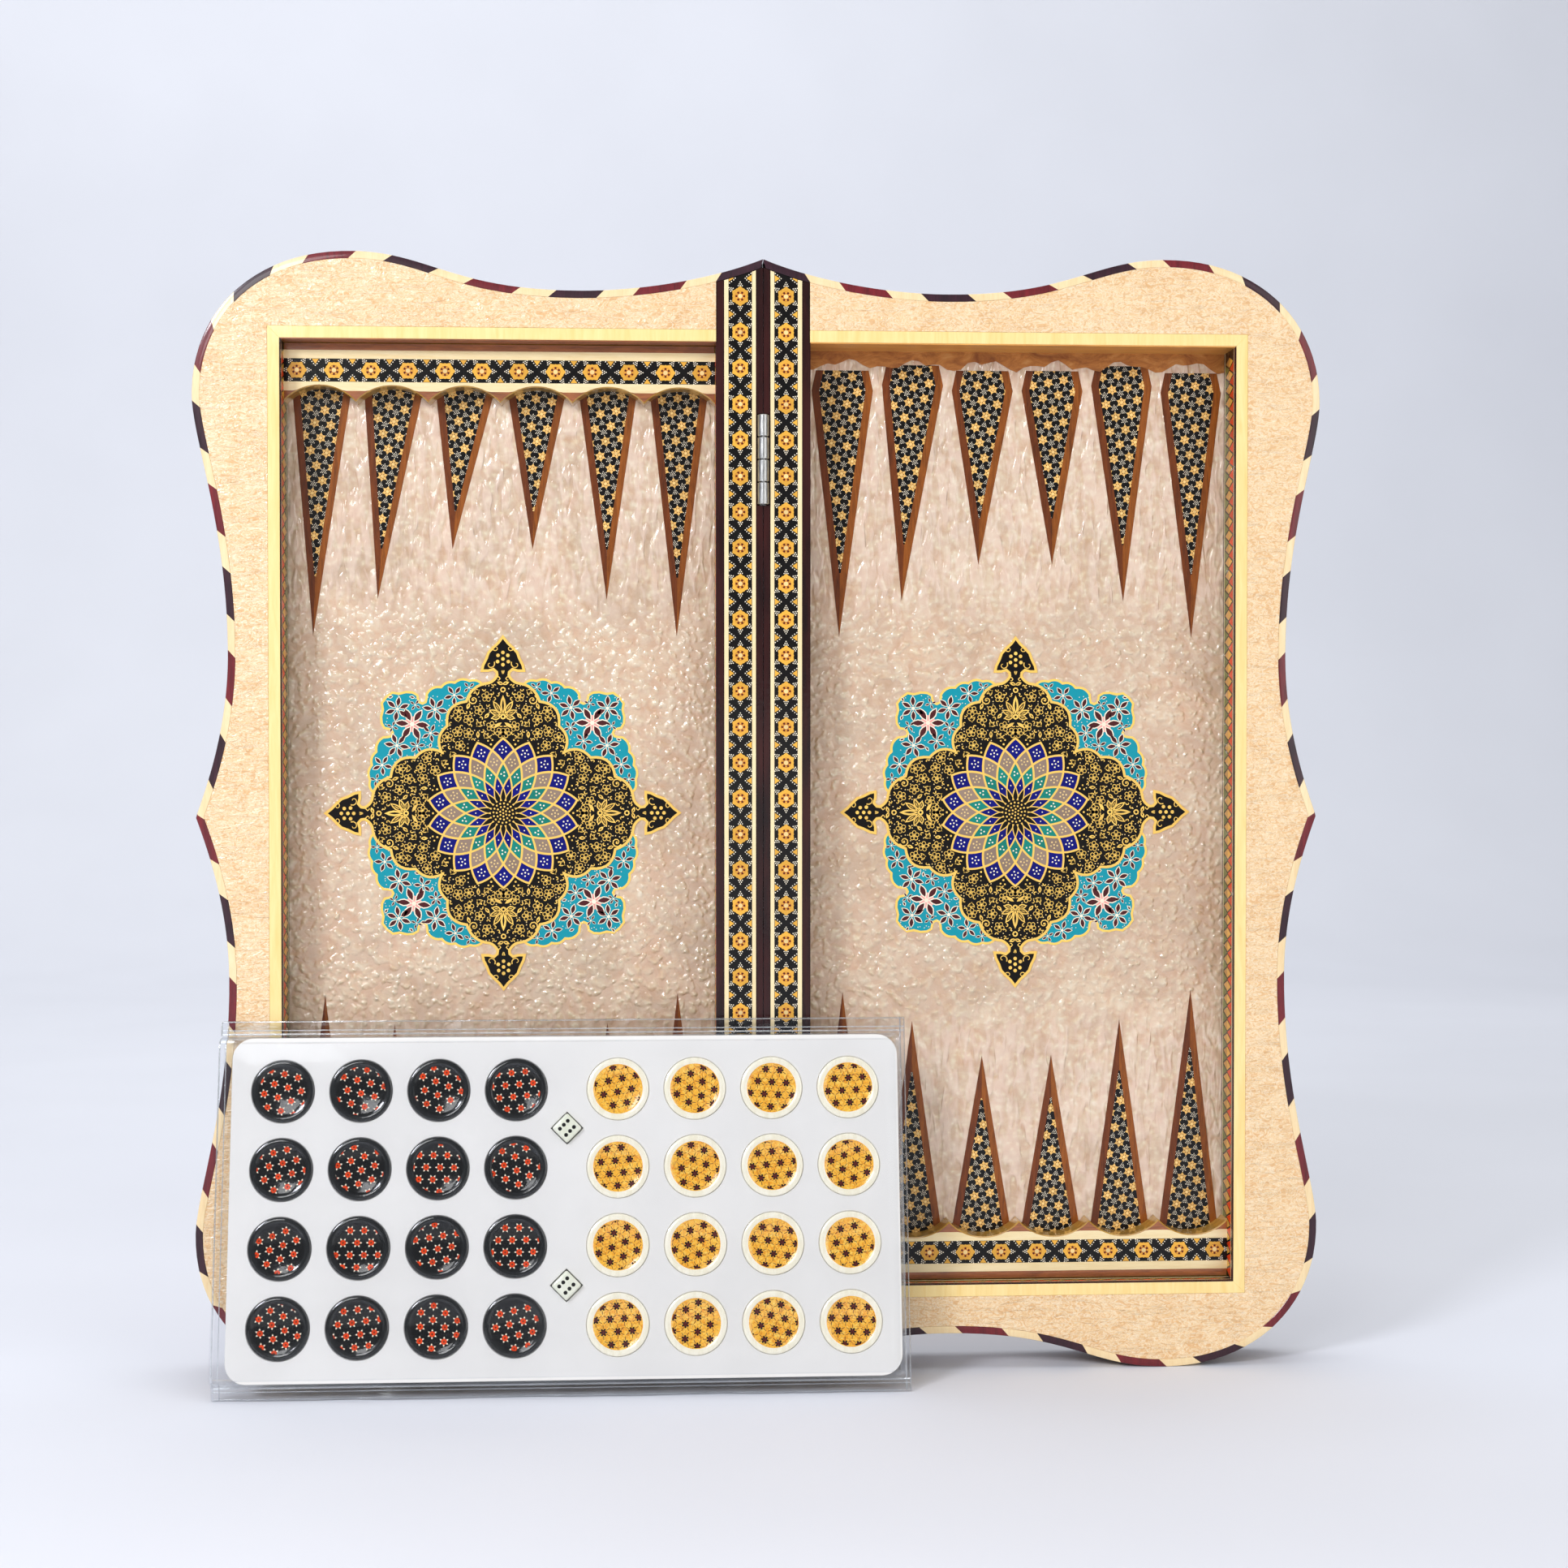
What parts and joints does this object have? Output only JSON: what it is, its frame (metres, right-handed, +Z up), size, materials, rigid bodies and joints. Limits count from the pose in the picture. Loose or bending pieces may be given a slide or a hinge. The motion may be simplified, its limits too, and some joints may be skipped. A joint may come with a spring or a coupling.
{
  "type": "backgammon set",
  "caption": "Folding inlaid-wood backgammon board with a scalloped outline, standing open on its edge, with checkers and dice in a tray inside a clear pouch.",
  "frame": {"origin": "on the ground, under the middle of the whole set's box", "axes": "+Z up along the hinge line, +X to the player's right, +Y from the playing side to the back"},
  "size_m": [0.5, 0.0764, 0.4964],
  "materials": {
    "rim_veneer": "peach-cream burl veneer under thick gloss lacquer",
    "edge_banding": "cream, maroon and dark blocks, lacquered",
    "border_strip": "yellow-cream strip, satin lacquer",
    "rail_wood": "dark maroon wood, gloss lacquer",
    "khatam_inlay": "star marquetry in black, gold and cream, gloss",
    "playing_field": "pearly pinkish beige, pebbled gloss lacquer, inlaid points",
    "back_veneer": "walnut veneer, satin lacquer",
    "ledge_wood": "walnut with cream and khatam strips, gloss lacquer",
    "hinge_steel": "plated steel",
    "clear_vinyl": "thin clear soft vinyl",
    "tray_foam": "matt white foam board",
    "dark_piece": "glossy black with red star inlay",
    "light_piece": "cream rim, amber inlaid disc under gloss",
    "die_ivory": "pale ivory with black pips"
  },
  "bodies": {
    "left_half": {"left_frame": "rim_veneer", "left_edge_banding": "edge_banding", "left_border_strip": "border_strip", "left_hinge_rail": "rail_wood", "left_rail_inlay": "khatam_inlay", "left_playing_panel": "playing_field", "left_back_panel": "back_veneer", "left_top_ledge": "ledge_wood", "left_bottom_ledge": "ledge_wood", "upper_hinge_left_leaf": "hinge_steel", "upper_hinge_pin": "hinge_steel", "lower_hinge_left_leaf": "hinge_steel", "lower_hinge_pin": "hinge_steel"},
    "right_half": {"right_frame": "rim_veneer", "right_edge_banding": "edge_banding", "right_border_strip": "border_strip", "right_hinge_rail": "rail_wood", "right_rail_inlay": "khatam_inlay", "right_playing_panel": "playing_field", "right_back_panel": "back_veneer", "right_bottom_ledge": "ledge_wood", "upper_hinge_right_leaf": "hinge_steel", "lower_hinge_right_leaf": "hinge_steel"},
    "pouch": {"pouch": "clear_vinyl"},
    "tray": {"piece_tray": "tray_foam", "dark_checker_01": "dark_piece", "dark_checker_02": "dark_piece", "dark_checker_03": "dark_piece", "dark_checker_04": "dark_piece", "dark_checker_05": "dark_piece", "dark_checker_06": "dark_piece", "dark_checker_07": "dark_piece", "dark_checker_08": "dark_piece", "dark_checker_09": "dark_piece", "dark_checker_10": "dark_piece", "dark_checker_11": "dark_piece", "dark_checker_12": "dark_piece", "dark_checker_13": "dark_piece", "dark_checker_14": "dark_piece", "dark_checker_15": "dark_piece", "dark_checker_16": "dark_piece", "light_checker_01": "light_piece", "light_checker_02": "light_piece", "light_checker_03": "light_piece", "light_checker_04": "light_piece", "light_checker_05": "light_piece", "light_checker_06": "light_piece", "light_checker_07": "light_piece", "light_checker_08": "light_piece", "light_checker_09": "light_piece", "light_checker_10": "light_piece", "light_checker_11": "light_piece", "light_checker_12": "light_piece", "light_checker_13": "light_piece", "light_checker_14": "light_piece", "light_checker_15": "light_piece", "light_checker_16": "light_piece", "die_01": "die_ivory", "die_02": "die_ivory"}
  },
  "joints": [
    {"name": "board_fold", "type": "hinge", "parent": "left_half", "child": "right_half", "pos_m": [0, 0.00386, 0.2482], "axis": [0, 0, -1], "range_deg": [0, 180]},
    {"name": "pouch_aside", "type": "slide", "parent": "left_half", "child": "pouch", "axis": [-0.5, -0.866, 0], "range_m": [0, 0.503]},
    {"name": "tray_slide", "type": "slide", "parent": "pouch", "child": "tray", "axis": [-1, 0, 0], "range_m": [0, 0.3]}
  ],
  "couplings": [
    {"joint": "pouch_aside", "follows": "board_fold", "m_per_rad": 0.16}
  ]
}
